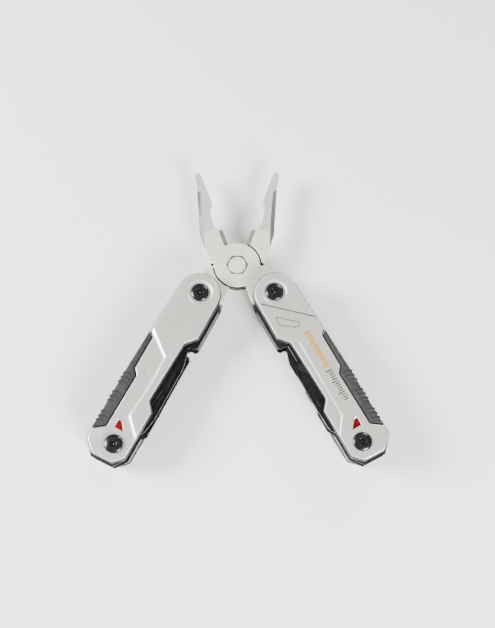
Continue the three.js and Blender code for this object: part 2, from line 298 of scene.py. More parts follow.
def handle_place(side, outwards):
    """From a handle's own millimetres to the scene. outwards is 1 in front, -1 at the rear."""
    flip = -1 if side == "right" else 1
    return (Matrix.Translation(handle_pivot[side]) @ Matrix.Rotation(-flip * HANDLE_LEAN, 4, "Z")
            @ Matrix.Diagonal((flip * MM, MM, outwards * MM, 1)))


def head_place(half):
    """The front half is drawn in place; the rear half is the front half turned over."""
    flip = -1 if half == "rear" else 1
    return (Matrix.Translation(plier_pivot) @ Matrix.Rotation(flip * HALF_OPENING, 4, "Z")
            @ Matrix.Diagonal((flip * MM, MM, flip * MM, 1)))


def piece(name, solid, place, materials, body, node=None, sharp=32):
    """Makes a solid into a piece that rides on a body, in place of its CAD node."""
    mesh = bpy.data.meshes.new(name)
    faces = solid.faces
    if place.determinant() < 0:
        faces = [face[::-1] for face in faces]
    mesh.from_pydata([place @ Vector(v) for v in solid.verts], [], faces)
    for material in materials:
        mesh.materials.append(material)
    mesh.polygons.foreach_set("material_index", solid.paint)
    mesh.polygons.foreach_set("use_smooth", [True] * len(faces))
    mesh.set_sharp_from_angle(angle=math.radians(sharp))
    mesh.validate()
    mesh.update()
    obj = bpy.data.objects.new(name, mesh)
    bpy.context.scene.collection.objects.link(obj)
    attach(obj, body)
    if node:
        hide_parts(node)
    return obj


def refine(node, material, bevel):
    """A CAD node whose shape is right, with broken edges and its material."""
    obj = frame["nodes"][node]
    obj.data.materials.clear()
    obj.data.materials.append(material)
    edge = obj.modifiers.new("edges", "BEVEL")
    edge.width = bevel * MM
    edge.segments = 2
    edge.limit_method = "ANGLE"
    edge.angle_limit = math.radians(35)
    edge.harden_normals = False


# ---- Materials ----

RAMP = (0.35, 0.65)  # the part of a noise texture's range that it mostly stays in


class Surface:
    """A Principled material with helpers for its texture nodes. Lengths are in millimetres."""

    def __init__(self, name, metallic, **sockets):
        self.material = bpy.data.materials.new(name)
        self.material.use_nodes = True
        self.tree = self.material.node_tree
        self.shader = self.tree.nodes["Principled BSDF"]
        self.shader.inputs["Metallic"].default_value = metallic
        for socket, value in sockets.items():
            self.shader.inputs[socket.replace("_", " ")].default_value = value
        self.coords = self.tree.nodes.new("ShaderNodeTexCoord").outputs["Object"]

    def node(self, kind, **inputs):
        """A new node; each input is a value or another node's output."""
        node = self.tree.nodes.new(kind)
        for key, value in inputs.items():
            socket = node.inputs[key.replace("_", " ")]
            if isinstance(value, bpy.types.NodeSocket):
                self.tree.links.new(value, socket)
            else:
                socket.default_value = value
        return node

    def scaled(self, size, stretch, turn):
        """Coordinates for a texture with features of a size, finer along a stretched axis."""
        mapping = self.node("ShaderNodeMapping", Vector=self.coords)
        mapping.inputs["Rotation"].default_value = (0, 0, turn)
        mapping.inputs["Scale"].default_value = [s / size / MM for s in stretch]
        return mapping.outputs["Vector"]

    def noise(self, size, detail=3.0, stretch=(1, 1, 1), turn=0.0):
        place = self.scaled(size, stretch, turn)
        noise = self.node("ShaderNodeTexNoise", Vector=place, Scale=1.0, Detail=detail)
        return noise.outputs["Fac"]

    def cells(self, size):
        place = self.scaled(size, (1, 1, 1), 0.0)
        return self.node("ShaderNodeTexVoronoi", Vector=place, Scale=1.0).outputs["Color"]

    def colour(self, factor, dark, light, start=RAMP[0], end=RAMP[1]):
        ramp = self.node("ShaderNodeValToRGB", Fac=factor)
        ramp.color_ramp.elements[0].position = start
        ramp.color_ramp.elements[1].position = end
        ramp.color_ramp.elements[0].color = (*dark, 1)
        ramp.color_ramp.elements[1].color = (*light, 1)
        self.tree.links.new(ramp.outputs["Color"], self.shader.inputs["Base Color"])

    def roughness(self, factor, low, high):
        ranged = self.node("ShaderNodeMapRange", Value=factor)
        limits = {"From Min": RAMP[0], "From Max": RAMP[1], "To Min": low, "To Max": high}
        for key, number in limits.items():
            ranged.inputs[key].default_value = number
        self.tree.links.new(ranged.outputs["Result"], self.shader.inputs["Roughness"])

    def bump(self, *layers):
        """Each layer is (height texture, depth in millimetres)."""
        normal = None
        for height, depth in layers:
            bump = self.node("ShaderNodeBump", Height=height, Distance=depth * MM, Strength=1.0)
            if normal:
                self.tree.links.new(normal, bump.inputs["Normal"])
            normal = bump.outputs["Normal"]
        self.tree.links.new(normal, self.shader.inputs["Normal"])


def tint(colour, factor):
    """The same colour, darker or lighter."""
    return tuple(c * factor for c in colour)


def silver_paint():
    s = Surface("silver_paint", 0.45, Coat_Weight=0.15, Coat_Roughness=0.2)
    silver = (0.545, 0.54, 0.495)
    s.colour(s.cells(0.16), tint(silver, 0.84), tint(silver, 1.16), 0.2, 0.8)
    s.roughness(s.noise(5.0), 0.30, 0.37)
    s.bump((s.noise(0.22, 2.0), 0.004), (s.noise(1.4, 2.0), 0.006))
    return s.material


def highlight_silver():
    """Lighter silver, painted as a highlight along a scale's bevels, its panel's ramp and its
    dish's wall.
    """
    s = Surface("highlight_silver", 0.6, Coat_Weight=0.2, Coat_Roughness=0.2)
    silver = (0.72, 0.715, 0.68)
    s.colour(s.noise(1.2, 5.0), tint(silver, 0.88), tint(silver, 1.06))
    s.roughness(s.noise(0.8, 4.0), 0.36, 0.46)
    s.bump((s.noise(0.22, 2.0), 0.003))
    return s.material


def scale_shade():
    """Painted shade: the thin dark line round a scale's bevel, its outer side walls and its
    engraved lines.
    """
    s = Surface("scale_shade", 0.5)
    s.colour(s.noise(1.0, 4.0), (0.030, 0.030, 0.029), (0.062, 0.062, 0.059))
    s.roughness(s.noise(0.5, 3.0), 0.4, 0.55)
    s.bump((s.noise(0.2, 2.0), 0.004))
    return s.material


# A darker copy of the jaw steel, painted on the tapered jaw tips as shade.
def tip_shade_steel():
    s = Surface("tip_shade_steel", 0.6)
    steel = (0.67, 0.655, 0.59)
    s.colour(s.noise(3.0, 5.0), tint(steel, 0.92), tint(steel, 1.08))
    s.roughness(s.noise(0.8, 4.0), 0.40, 0.52)
    s.bump((s.noise(0.12, 2.0), 0.006), (s.noise(0.6, 3.0), 0.006))
    return s.material


def satin_steel():
    s = Surface("satin_steel", 0.5)
    steel = (0.93, 0.88, 0.775)
    s.colour(s.noise(4.0, 5.0), tint(steel, 0.94), tint(steel, 1.06))
    s.roughness(s.noise(0.5, 4.0, (1, 8, 1), 0.6), 0.32, 0.44)
    s.bump((s.noise(0.15, 3.0, (1, 6, 1), 0.6), 0.003))
    return s.material


def ground_steel():
    """Coarsely ground facets, greyer than the faces."""
    s = Surface("ground_steel", 0.8)
    steel = (0.20, 0.20, 0.19)
    s.colour(s.noise(0.5, 4.0), tint(steel, 0.75), tint(steel, 1.3))
    s.roughness(s.noise(0.4, 4.0), 0.42, 0.6)
    s.bump((s.noise(0.25, 3.0), 0.02))
    return s.material


def lap_shade():
    """Painted shade on the faces of the lap joint and on the walls round it."""
    s = Surface("lap_shade", 0.4)
    s.colour(s.noise(1.5, 4.0), (0.008, 0.008, 0.008), (0.03, 0.028, 0.025))
    s.roughness(s.noise(0.8), 0.4, 0.6)
    return s.material


def turned_steel():
    s = Surface("turned_steel", 0.95)
    steel = (0.58, 0.575, 0.56)
    s.colour(s.noise(2.0, 4.0), tint(steel, 0.9), tint(steel, 1.08))
    s.roughness(s.noise(0.3, 3.0, (1, 1, 5)), 0.22, 0.36)
    s.bump((s.noise(0.2, 3.0, (1, 1, 6)), 0.002))
    return s.material


def black_coat():
    """Black coating on the frames and back springs, rubbed grey in places."""
    s = Surface("black_coat", 0.5)
    s.colour(s.noise(3.5, 6.0), (0.012, 0.012, 0.013), (0.030, 0.030, 0.031), 0.4, 0.75)
    s.roughness(s.noise(1.0, 4.0), 0.32, 0.5)
    s.bump((s.noise(0.3, 3.0), 0.004))
    return s.material


def black_oxide():
    """Black oxide on the tools, over fine grinding lines."""
    s = Surface("black_oxide", 0.75)
    s.colour(s.noise(4.0, 5.0), (0.016, 0.0165, 0.017), (0.027, 0.027, 0.028))
    s.roughness(s.noise(0.7, 4.0), 0.26, 0.42)
    s.bump((s.noise(0.12, 3.0, (1, 9, 1), 1.05), 0.003), (s.noise(0.5, 2.0), 0.003))
    return s.material


def ground_oxide():
    """Ground bevels on the tools, a little brighter than their faces."""
    s = Surface("ground_oxide", 0.85)
    s.colour(s.noise(0.8, 5.0, (1, 5, 1), 1.05), (0.040, 0.041, 0.043), (0.075, 0.076, 0.079))
    s.roughness(s.noise(0.5, 4.0), 0.28, 0.42)
    s.bump((s.noise(0.15, 3.0, (1, 9, 1), 1.05), 0.004))
    return s.material


def screw_black():
    s = Surface("screw_black", 0.6, Coat_Weight=0.5, Coat_Roughness=0.12)
    s.colour(s.noise(1.2, 4.0), (0.010, 0.010, 0.011), (0.024, 0.024, 0.025))
    s.roughness(s.noise(0.6, 3.0), 0.2, 0.32)
    s.bump((s.noise(0.25, 2.0), 0.003))
    return s.material


def rubber():
    s = Surface("rubber", 0.0, Specular_IOR_Level=0.35)
    s.colour(s.noise(2.5, 5.0), (0.016, 0.0175, 0.0165), (0.025, 0.0275, 0.026))
    s.roughness(s.noise(0.6, 4.0), 0.58, 0.76)
    s.bump((s.noise(0.18, 2.0), 0.012), (s.noise(0.9, 2.0), 0.01))
    return s.material


def red_plastic():
    s = Surface("red_plastic", 0.0, Specular_IOR_Level=0.2)
    s.colour(s.noise(1.5, 3.0), (0.105, 0.0, 0.002), (0.14, 0.0, 0.002))
    s.roughness(s.noise(0.6, 3.0), 0.3, 0.42)
    s.bump((s.noise(0.2, 2.0), 0.003))
    return s.material


def ink(name, dark, light):
    s = Surface(name, 0.0, Specular_IOR_Level=0.1)
    s.colour(s.noise(0.5, 4.0), dark, light)
    s.roughness(s.noise(0.3, 3.0), 0.42, 0.58)
    s.bump((s.noise(0.1, 2.0), 0.003))
    return s.material


SILVER = silver_paint()
SCALE_SHADE = scale_shade()
HIGHLIGHT_SILVER = highlight_silver()
TIP_SHADE = tip_shade_steel()
SATIN = satin_steel()
GROUND = ground_steel()
LAP_SHADE = lap_shade()
TURNED = turned_steel()
COAT = black_coat()
OXIDE = black_oxide()
GROUND_OXIDE = ground_oxide()
SCREW_BLACK = screw_black()
RUBBER = rubber()
RED = red_plastic()
YELLOW_INK = ink("yellow_ink", (0.42, 0.19, 0.0), (0.50, 0.23, 0.0))
BLACK_INK = ink("black_ink", (0.012, 0.012, 0.012), (0.03, 0.03, 0.03))


# ---- Plier head ----

IN_SATIN, IN_TIP_SHADE, IN_GROUND, IN_LAP_SHADE = range(4)  # its material numbers
JAW_TAPER = 22.6     # from here to the tips the jaw gets thinner, and its steel is painted darker as shade
JAW_CHAMFER = 0.9    # at the tip
TOOTH = 0.28         # depth of a fine tooth
TOOTH_PITCH = 0.75
CUTTER_ENDS = (12.0, 22.5)  # of the wire cutter's bevel, in y
CUTTER_EDGE = -2.55  # x where it starts
CUTTER_SLOPE = 1.15  # depth for each mm in x
SHOULDER = 5.5       # where the back of the jaw meets the disc
TANG_EYE = 9.2       # radius of the tang round the handle pivot
TANG_ANGLE = -21.5   # degrees, where the tang's outer side meets the disc
SEAT = 5.8           # centre to corner of the pivot bolt's hexagonal seat
SEAT_CORNER = 1.8    # how much they are rounded
SEAT_DEPTH = 0.55
SHADE_REACH = 1.0         # the rim is painted shade this far out from the relief


def jaw_inner():
    """The jaw's working side, from the lap disc up to the tip: cutter, pipe grip, fine teeth."""
    line = [(JAW_FACE, 21.7), (-2.5, 21.7)]
    grip = [(-3.1, 22.9)] + curve((-3.1, 22.9), (-5.0, 27.5), (-1.5, 36.2), 24)
    depth = (0.0, 0.1, 0.45, 0.4)  # rounded teeth, four points to each
    line += [(x - depth[k % 4], y) for k, (x, y) in enumerate(grip)]
    line.append((JAW_FACE, 37.1))
    for y in np.arange(37.5, JAW_TIP - 1.5, TOOTH_PITCH):
        line += [(JAW_FACE, y), (JAW_FACE - TOOTH, y + TOOTH_PITCH / 2)]
    return line + [(JAW_FACE, JAW_TIP - JAW_CHAMFER)]


def jaw_back():
    """Over the tip and down the back of the jaw to its shoulder."""
    corners = [(JAW_FACE, JAW_TIP - JAW_CHAMFER, 0), (-0.6, JAW_TIP, 0.2),
               (-3.0, JAW_TIP - 0.1, 0.4), (-3.5, 55.2, 1.0), (-5.3, 46.7, 3.0),
               (-12.2, 23.1, 5.0), (-12.5, 17.4, 3.0), (-12.6, SHOULDER, 0.3), (-9.0, SHOULDER, 0)]
    return rounded(corners)[1:-1]


def tang_line(radius):
    """From the disc or its relief, round the tang, nearly back to the same circle."""
    line = [(-JAW_FACE, -math.sqrt(radius ** 2 - JAW_FACE ** 2)), (-JAW_FACE, -21.1), (1.7, -21.5)]
    line += arc(EYE.x, EYE.y, TANG_EYE, 180, 420, 40)
    return line + [(15.1, -9.2), (14.6, -7.6), (13.9, -6.4), (13.0, -5.6)]


def shoulder_angle(radius):
    """Where the jaw's shoulder meets the disc or its relief."""
    return math.degrees(math.atan2(SHOULDER, -math.sqrt(radius ** 2 - SHOULDER ** 2)))


def plier_half(name, half, body):
    """Left jaw and right tang, with the lap disc in front; the rear half is turned over."""
    jaw = jaw_inner() + jaw_back()
    front = ([(JAW_FACE, DISC)] + jaw + arc(0, 0, DISC, shoulder_angle(DISC), 269, 40)
             + tang_line(DISC) + arc(0, 0, DISC, TANG_ANGLE, 90, 40))
    rear_jaw = [(JAW_FACE, RELIEF)] + jaw + arc(0, 0, RELIEF, shoulder_angle(RELIEF), 91, 20)
    rear_tang = tang_line(RELIEF) + arc(0, 0, RELIEF, TANG_ANGLE, -89, 24)

    facet = [(-5.5, 46.9), (-4.5, 46.2), (-3.9, 44.6), (-7.4, 31.5), (-12.9, 13.5), (-WIDE, 5),
             (-WIDE, 100)]
    low, high = CUTTER_ENDS
    cutter = [(CUTTER_EDGE, low), (3, low), (3, high), (CUTTER_EDGE, high)]
    turn = 60 - math.degrees(HALF_OPENING)  # corners left and right when the jaws are open
    seat = rounded(arc(0, 0, SEAT, turn, turn + 300, 5), SEAT_CORNER)
    taper = beyond(JAW_TAPER, 120)

    def cuts(outline):
        return [
            (outline, [(0, 0.30), (0.30, 0.0)]),
            (taper, [(0, 0.0), (34, 1.1)]),
            (facet, [(0, 0.0), (0.06, 0.14), (4, 2.5)]),
            (cutter, lambda p: (p[:, 0] - CUTTER_EDGE) * CUTTER_SLOPE),
        ]

    def rim_paint(x, y):
        # The walls close round the lap disc are painted shade.
        if math.hypot(x, y) < RELIEF + SHADE_REACH:
            return IN_LAP_SHADE
        # The walls of the tapered tips are painted darker as shade.
        return IN_TIP_SHADE if y > JAW_TAPER else IN_SATIN

    # The tapered tips are painted darker steel as shade; the facets and the cutter's bevel are
    # ground.
    areas = [(taper, IN_TIP_SHADE), (facet, IN_GROUND), (cutter, IN_GROUND)]
    outlines = [outline for outline, _ in areas]
    bolt_seat = (seat, [(0, 0.0), (0.05, SEAT_DEPTH)])
    # The bolt's seat is painted with the dark ground steel, as painted shade in its recess.
    solid = plate(front, LAP, HEAD, top=cuts(front) + [bolt_seat], areas=outlines,
                  paint=painted(*areas, (seat, IN_GROUND)), side=rim_paint, under=IN_LAP_SHADE)
    for outline in (rear_jaw, rear_tang):
        part = plate(outline, -HEAD, LAP, bottom=cuts(outline), areas=outlines,
                     paint=painted(*areas), side=rim_paint)
        solid.add(part.verts, part.faces, part.paint)
    materials = [SATIN, TIP_SHADE, GROUND, LAP_SHADE]
    piece(name, solid, head_place(half), materials, body, name)


def bolt_head(name, half):
    """Round head in a hexagonal seat, with a broken edge and a faintly domed face."""
    profile = [(0, LAP), (2.4, LAP), (2.4, 2.4), (4.35, 2.4), (4.45, 2.55), (4.45, 3.15),
               (4.38, 3.3), (4.22, 3.42), (3.9, 3.46), (2.0, 3.48), (0, 3.48)]
    piece(name, turned(profile, 64), head_place(half), [SATIN], "front_jaw", name)


def build_head():
    plier_half("front_plier_half", "front", "front_jaw")
    plier_half("rear_plier_half", "rear", "rear_jaw")
    bolt_head("plier_pivot_bolt", "front")
    bolt_head("plier_pivot_nut", "rear")


# ---- Handle scales, grips and screws ----

IN_SILVER, IN_SHADE, IN_HIGHLIGHT = range(3)  # a scale's material numbers: silver paint, painted shade, painted highlight


def scale_outline():
    """A round end at the handle pivot, then down the spine and back up the inner side."""
    top = [(x, y, 0) for x, y in arc(-0.15, -1.0, 11.25, 0, 180, 36)]
    rest = [(-12.4, -28.8, 0.4), (-10.1, -31.2, 1.0), (-10.1, -49.0, 1.0), (-7.5, -52.0, 1.0),
            (-8.0, -80.2, 1.0), (-13.8, -84.2, 0.4), (-13.8, -89.2, 1.4), (-7.5, -95.2, 1.8),
            (3.6, -94.9, 1.8), (8.6, -89.9, 1.8), (9.0, -64.3, 1.8), (5.1, -59.6, 1.8),
            (6.3, -27.0, 1.8), (11.1, -21.6, 1.4)]
    return rounded(top + rest)


SCALE_OUTLINE = scale_outline()
RIM_LINE = 0.5         # width of the line of painted shade round a scale
BEVEL_WIDTH = 1.0             # how far in its bevel reaches; this band is painted lighter as a highlight
WINDOW = rounded([(-3.8, -78.9), (1.2, -78.9), (-2.2, -74.8), (-3.8, -74.8)], 0.3)
DISH = arc(0, 0, 6.6, 0, 350, 35)  # round the handle pivot's screw
DISH_WALL = (0.2, 1.3)  # this band and the next two are distances inside their outline
CORNER_FACET = [(-8.2, -81), (-8.2, -WIDE * 2), (-WIDE, -WIDE * 2), (-WIDE, -81)]
PANEL = rounded([(-16, -23.4), (-10.7, -27.2), (1.5, -37.0), (2.1, -50), (0.8, -70.6),
                 (7.4, -77.2), (14, -83), (14, -105), (-20, -105), (-20, -23.4)], 1.6, 6)
PANEL_RAMP = (0.2, 1.2)
LONG_LINE = stroke([(9.0, -2.4), (-11.6, -21.3)], 0.55)
LOOP = rounded([(5.7, -11.4), (-3.9, -19.9), (-2.8, -21.4), (-0.1, -21.5), (6.5, -16.5),
                (6.2, -12.2)], 0.5)
LOOP_FLOOR = (0.2, 0.5)


def between(distance, limits):
    """Which distances inside an outline lie in a band."""
    return (distance > limits[0]) & (distance < limits[1])


def common_cuts():
    """Edge bevel, dish, bevel round the window, and a facet at the spine's corner."""
    return [
        (SCALE_OUTLINE, [(0, 0.95), (RIM_LINE, 0.38), (0.75, 0.1), (BEVEL_WIDTH, 0.0)]),
        (DISH, [(0, 0.0), (DISH_WALL[0], 0.07), (DISH_WALL[1], 0.6), (1.8, 0.66)]),
        (inset(WINDOW, -0.45), [(0, 0.0), (0.45, 0.3)]),
        (CORNER_FACET, [(0, 0.0), (4.9, 0.42)]),
    ]


def stepped_cuts():
    """A lower panel beside the grip, and a short slot in it."""
    slot = rounded([(-5.2, -38.7), (-4.1, -37.4), (-3.8, -38.2), (-3.8, -48.6), (-4.1, -49.9),
                    (-5.2, -48.6)], 0.3)
    return [(PANEL, [(0, 0.0), (PANEL_RAMP[0], 0.05), (PANEL_RAMP[1], 0.63), (1.5, 0.7)]),
            (slot, [(0, 0.0), (0.4, 0.5)])]


def engraved_cuts():
    """A long diagonal line, a six-sided loop and a lower strip along the inner edge."""
    strip = rounded([(14, -16), (8.8, -21), (2.2, -27.2), (1.8, -29.5), (1.8, -70.6),
                     (7.6, -78.3), (14, -84)], 1.0)
    return [(LONG_LINE, [(0, 0.0), (0.15, 0.3)]),
            (LOOP, [(0, 0.0), (LOOP_FLOOR[0], 0.3), (LOOP_FLOOR[1], 0.3), (0.7, 0.0)]),
            (strip, [(0, 0.0), (0.6, 0.3)])]


def scales():
    """Stepped scales on three places, and an engraved one in front on the right."""
    def rim_paint(x, y):
        # The outer side walls are painted shade; the walls of the window keep the silver.
        window = inside(np.array([[x, y]]), SCALE_OUTLINE)[0] > BEVEL_WIDTH
        return IN_SILVER if window else IN_SHADE

    def plain(points):
        depth = inside(points, SCALE_OUTLINE)
        # The bevel and the dish's wall are painted lighter as a highlight.
        painted_highlight = (depth < BEVEL_WIDTH) | between(inside(points, DISH), DISH_WALL)
        # The outer rim line is painted shade.
        return np.where(depth < RIM_LINE, IN_SHADE, np.where(painted_highlight, IN_HIGHLIGHT, IN_SILVER))

    def engraved(points):
        # The long line and the loop's floor are painted shade.
        line = (inside(points, LONG_LINE) > 0) | between(inside(points, LOOP), LOOP_FLOOR)
        return np.where(line, IN_SHADE, plain(points))

    def stepped(points):
        numbers = plain(points)
        # The panel's ramp is painted lighter as a highlight.
        ramp = between(inside(points, PANEL), PANEL_RAMP)
        return np.where((numbers == IN_SILVER) & ramp, IN_HIGHLIGHT, numbers)

    for side in SIDES:
        for where, outwards in FACES:
            cuts, paint = stepped_cuts(), stepped
            if (side, where) == ("right", "front"):
                cuts, paint = engraved_cuts(), engraved
            solid = plate(SCALE_OUTLINE, BAY_ROOF, FACE, top=common_cuts() + cuts, holes=[WINDOW],
                          paint=paint, side=rim_paint)
            name = f"{side}_{where}_scale"
            piece(name, solid, handle_place(side, outwards), [SILVER, SCALE_SHADE, HIGHLIGHT_SILVER],
                  f"{side}_handle", name, 20)


RIB_GROUPS = (-75.0, -64.1, -53.6)  # the highest rib of each group
RIB_PITCH = 2.4
RIB_PLACES = [group - k * RIB_PITCH for group in RIB_GROUPS for k in (2, 1, 0)]


def grips():
    """Rubber, with three groups of wave-shaped ribs that stand out past the edge."""
    outline = [(-12.5, -28.95), (-10.2, -31.25), (-10.2, -49.05), (-7.6, -52.05), (-8.1, -80.1),
               (-13.7, -84.0)]
    for y in RIB_PLACES:
        outline += [(-13.2, y - 0.9), (-13.7, y - 0.35), (-13.7, y + 0.35), (-13.2, y + 0.9)]
    outline = rounded(outline, 0.3, 3)
    cuts = [(outline, [(0, 0.8), (0.12, 0.45), (0.45, 0.12), (0.9, 0.0)])]
    for y in RIB_PLACES:
        wave = [(-9.1, y - 0.5), (-9.7, y + 0.3), (-10.6, y + 0.5), (-11.5, y + 0.1),
                (-12.5, y - 0.3), (-14.0, y - 0.1)]
        cuts.append((stroke(wave, 1.25), [(0, 0.0), (0.25, -0.28), (0.45, -0.36)]))
    solid = plate(outline, BAY_ROOF, FACE + 0.15, top=cuts)
    for side in SIDES:
        for where, outwards in FACES:
            name = f"{side}_{where}_grip"
            piece(name, solid, handle_place(side, outwards), [RUBBER],
                  f"{side}_handle", name, 40)


def screws():
    """Button heads with a six-lobed socket and a pin in its middle."""
    socket_top, socket_floor = 1.62, 1.55
    profile = [(0, 8.25), (1.5, 8.25), (1.5, 10.2), (SCREW, 10.2), (SCREW, 11.25), (4.48, 11.45),
               (4.1, 11.70), (3.4, 11.95), (2.6, 12.12), (2.0, TOP - 0.01), (1.78, TOP),
               (socket_top, 12.1), (socket_floor, 11.2), (0.5, 11.2), (0.5, 11.65), (0.3, 11.8),
               (0, 11.8)]

    def lobes(angle, radius):
        lobed = radius in (socket_top, socket_floor)
        return radius * (1 + 0.12 * math.cos(6 * angle)) if lobed else radius

    for side in SIDES:
        for where, outwards in FACES:
            for pivot, y in (("handle", 0.0), ("tool", -PITCH)):
                name = f"{side}_{where}_{pivot}_screw"
                piece(name, turned(profile, 72, lobes, y), handle_place(side, outwards),
                      [SCREW_BLACK], f"{side}_handle", name)


def scale_marks():
    """A printed rule in plain ticks, yellow and then black, on the right front scale."""
    tick_pitch = 1.25
    foot, long_end, short_end = -5.2, -1.6, -2.7
    rules = (("rule_ticks_yellow", YELLOW_INK, -26.6, 17, 0.85),
             ("rule_ticks_black", BLACK_INK, -48.5, 14, 0.55))
    for name, material, start, count, width in rules:
        solid = Solid()
        for k in range(count):
            y = start - k * tick_pitch
            end = long_end if k % 5 == 0 else short_end
            tick = [(foot, y), (end, y), (end, y + width), (foot, y + width)]
            part = plate(tick, FACE - 0.02, FACE + 0.015, grid=5)
            solid.add(part.verts, part.faces, part.paint)
        piece(name, solid, handle_place("right", 1), [material], "right_handle")


# ---- Folding tools, from the tool pivot: +y along the folded tool, +x its nail side ----

TANG = 6.8           # radius of a tool's round end
BORE = 2.5           # radius of the hole in it


def with_tang(points):
    """The outline of a tool, closed round its pivot."""
    return points + arc(0, 0, TANG, 116.2, 377.1, 30)


def folding_tool(name, side, where, layer, points, cuts=(), nick=None, ground=()):
    """cuts go into both faces; the nail nick only into the outer one. layer counts outwards in
    the bay. ground are the areas that are brighter than the faces."""
    outline = with_tang(points)
    both = [(outline, [(0, 0.12), (0.12, 0.0)]), *cuts]
    top = both + ([(nick, [(0, 0.0), (0.3, 0.35), (0.6, 0.5)])] if nick else [])
    shift = Matrix.Translation((0, -PITCH, BAY_FLOOR + PLAY + layer * (TOOL + PLAY)))
    hole = arc(0, 0, BORE, 0, 345, 23)
    solid = plate(outline, 0.0, TOOL, top=top, bottom=both, holes=[hole], areas=list(ground),
                  paint=painted(*[(area, 1) for area in ground]), grid=3.0)
    place = handle_place(side, dict(FACES)[where]) @ shift
    piece(name, solid, place, [OXIDE, GROUND_OXIDE], name, name, 20)


def lens(x0, y0, x1, y1, bow):
    """A long pointed oval between two points."""
    middle = (x0 + x1) / 2, (y0 + y1) / 2
    one = curve((x0, y0), (middle[0] + bow, middle[1]), (x1, y1), 12)
    other = curve((x1, y1), (middle[0] - bow, middle[1]), (x0, y0), 12)
    return one + other


def ground_edge(edge, start, width, outline):
    """A cut that thins a blade towards its edge, fading in from start; and a cut without depth,
    which gives the outline rings of points for it."""
    micro = 0.45  # width of the steeper bevel at the edge itself

    def depth(points):
        fade = np.clip((points[:, 1] - start) / 2.0, 0, 1)
        return fade * np.interp(near(points, edge), [0, micro, width], [0.68, 0.50, 0.0])

    rings = (outline, [(distance, 0.0) for distance in (micro, width / 2, width)])
    area = [(WIDE, start), (WIDE, 100), (-WIDE, 100), (-WIDE, start)]
    return [(area, depth), rings]


def knife_blade():
    belly = [(8.8, 49.9)] + curve((8.8, 49.9), (-1.0, 46.0), (-2.8, 33.0), 16) + [(-2.8, 13.0)]
    back = rounded([(6.5, 2.0, 0), (6.5, 8.0), (10.2, 12.0, 2.0), (11.0, 24.0, 6.0),
                    (10.9, 44.0, 4.0), (8.8, 49.9, 0)])
    points = back[:-1] + belly + [(-3.4, 10.5), (-3.0, 8.0)]
    cuts = ground_edge(belly, 13.0, 6.0, with_tang(points))
    grind = [*belly[1:], (1.5, 14.0), (2.4, 33.0), (5.0, 41.0), (8.9, 46.0)]
    nick = lens(9.9, 34.2, 8.6, 22.5, 1.6)
    folding_tool("knife_blade", "right", "front", 1, points, cuts, nick, [grind])


def serrated_blade():
    tip = [(4.6, 56.6)] + curve((4.6, 56.6), (-0.4, 53.0), (-1.8, 45.0), 10)
    edge = list(tip)
    scallop = 4.0
    for y in np.arange(45.0, 17.0, -scallop):
        edge += curve(edge[-1], (-0.2, y - scallop / 2), (-2.4, y - scallop), 8)
    edge.append((-2.8, 13.0))
    back = rounded([(6.5, 2.0, 0), (6.5, 8.0), (9.0, 12.0, 2.0), (9.4, 30.0, 5.0),
                    (9.2, 47.0, 5.0), (7.6, 52.6, 3.0), (4.6, 56.6, 0)])
    points = back[:-1] + edge + [(-3.4, 10.5), (-3.0, 8.0)]
    cuts = ground_edge(edge, 13.0, 4.5, with_tang(points))
    grind = [*edge[1:], (2.2, 14.0), (2.4, 44.0), (5.6, 53.0)]
    nick = lens(7.9, 37.0, 6.9, 23.0, 1.5)
    folding_tool("serrated_blade", "left", "front", 1, points, cuts, nick, [grind])


def wood_saw():
    points = rounded([(6.5, 2.0, 0), (6.5, 8.0), (9.6, 12.0, 2.0), (10.8, 20.0, 4.0),
                      (10.8, 48.5, 4.0), (9.0, 56.0, 2.0), (7.4, 58.8, 1.0), (-0.4, 56.5, 0)])
    pitch = 2.4
    for y in np.arange(54.0, 13.0, -pitch):
        points += [(-2.8, y), (-1.2, y - pitch * 0.55)]
    points.append((-2.8, 8.0))
    grind = [(0.2, 10.0), (0.2, 56.0), (-5.0, 56.0), (-5.0, 10.0)]
    cuts = [([(0.2, 10.0), (0.2, WIDE), (-WIDE, WIDE), (-WIDE, 10.0)], [(0, 0.0), (3.0, 0.35)])]
    folding_tool("wood_saw", "left", "front", 0, points, cuts, ground=[grind])


def metal_file():
    points = rounded([(6.5, 2.0, 0), (6.5, 8.0), (9.8, 11.0, 2.0), (9.8, 55.5, 0.6),
                      (8.4, 57.4, 0.8), (-0.6, 57.4, 0.8), (-2.2, 55.5, 0.6), (-2.6, 8.0)])
    pitch = 0.85
    grooves = [(stroke([(-1.7, y), (9.2, y + 3.5)], 0.42), [(0, 0.0), (0.2, 0.16)])
               for y in np.arange(15.0, 52.0, pitch)]
    area = [(-2.0, 14.0), (9.4, 14.0), (9.4, 56.2), (-2.0, 56.2)]
    folding_tool("metal_file", "left", "rear", 1, points, grooves, ground=[area])


def can_opener():
    hook = [(7.6, 28.0)] + curve((7.6, 28.0), (5.4, 31.0), (8.4, 34.0), 10)
    points = rounded([(6.5, 2.0, 0), (6.5, 8.0), (10.0, 14.0, 2.0), (10.2, 24.0, 1.0),
                      (7.6, 28.0, 0)])[:-1] + hook
    points += rounded([(8.6, 40.0, 1.0), (4.0, 44.0, 1.5), (-1.4, 40.0, 1.5), (-2.6, 26.0, 4.0),
                       (-2.9, 8.0)])
    edge = [(8.4, 34.0), (8.6, 40.0), (4.0, 44.0)]
    cuts = ground_edge(edge, 31.0, 3.0, with_tang(points))
    nick = lens(5.0, 26.0, 4.4, 15.0, 1.3)
    folding_tool("can_opener", "left", "rear", 0, points, cuts, nick)


